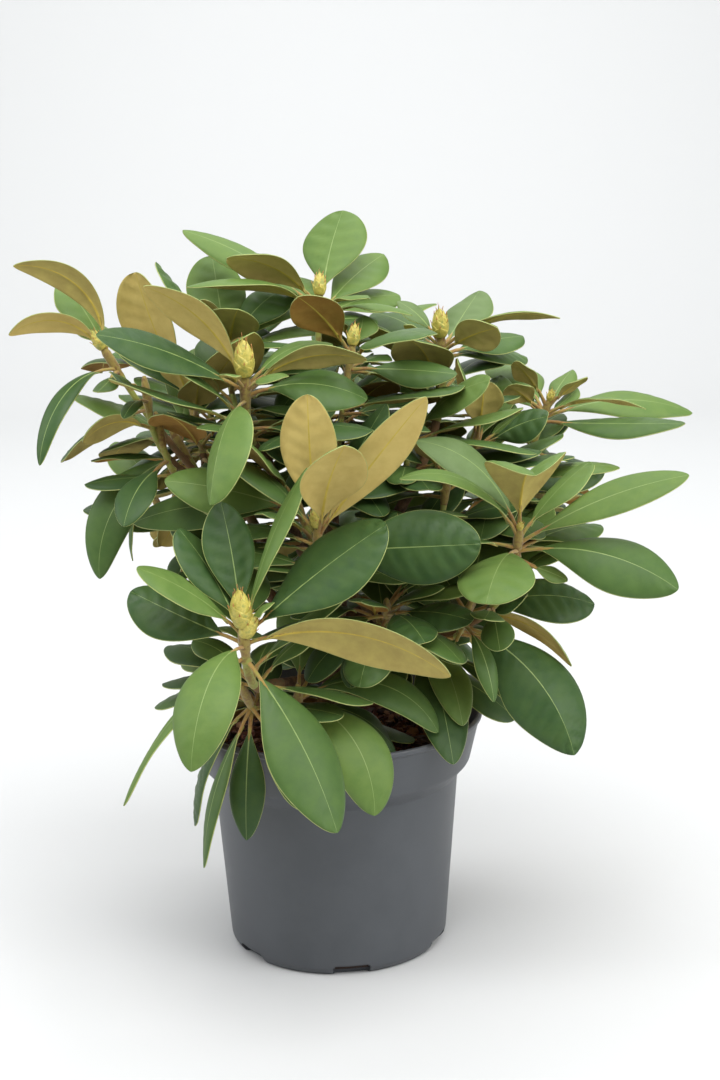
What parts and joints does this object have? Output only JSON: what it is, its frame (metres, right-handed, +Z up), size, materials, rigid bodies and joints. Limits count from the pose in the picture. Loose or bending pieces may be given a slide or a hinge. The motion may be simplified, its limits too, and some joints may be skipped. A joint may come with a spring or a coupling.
{
  "type": "potted rhododendron shrub",
  "caption": "Compact rhododendron in bud, with leathery leaves in whorls that show a tan felted underside, in a plain dark round nursery pot.",
  "frame": {"origin": "centre of the pot's flat underside, on the ground", "axes": "+Z up, -Y towards the side that the plant is shown from, +X to that viewer's right"},
  "size_m": [0.5047, 0.4399, 0.5558],
  "materials": {
    "pot": "semi-matt injection-moulded polypropylene, dark grey",
    "growing_medium": "loose damp composted bark and peat",
    "bark": "rough brown bark on trunk and boughs",
    "foliage": "leathery leaves, satin green above and felted tan beneath, on twigs that end in scaly buds"
  },
  "bodies": {
    "root": {"pot": "pot", "growing_medium": "growing_medium", "trunk": "bark", "bough_left_high": "bark", "foliage_left_high": "foliage", "bough_left_low": "bark", "foliage_left_low": "foliage", "bough_front_high": "bark", "foliage_front_high": "foliage", "foliage_top": "foliage", "bough_right_high": "bark", "foliage_right_high": "foliage", "bough_right": "bark", "foliage_right": "foliage", "bough_front_right": "bark", "foliage_front_right": "foliage", "bough_right_low": "bark", "foliage_right_low": "foliage", "bough_front": "bark", "foliage_front": "foliage", "bough_front_low": "bark", "foliage_front_low": "foliage", "bough_near_low": "bark", "foliage_near_low": "foliage", "bough_back_left": "bark", "foliage_back_left": "foliage", "bough_back_high": "bark", "foliage_back_high": "foliage", "bough_back_right": "bark", "foliage_back_right": "foliage", "bough_back_low": "bark", "foliage_back_low": "foliage"}
  },
  "joints": []
}
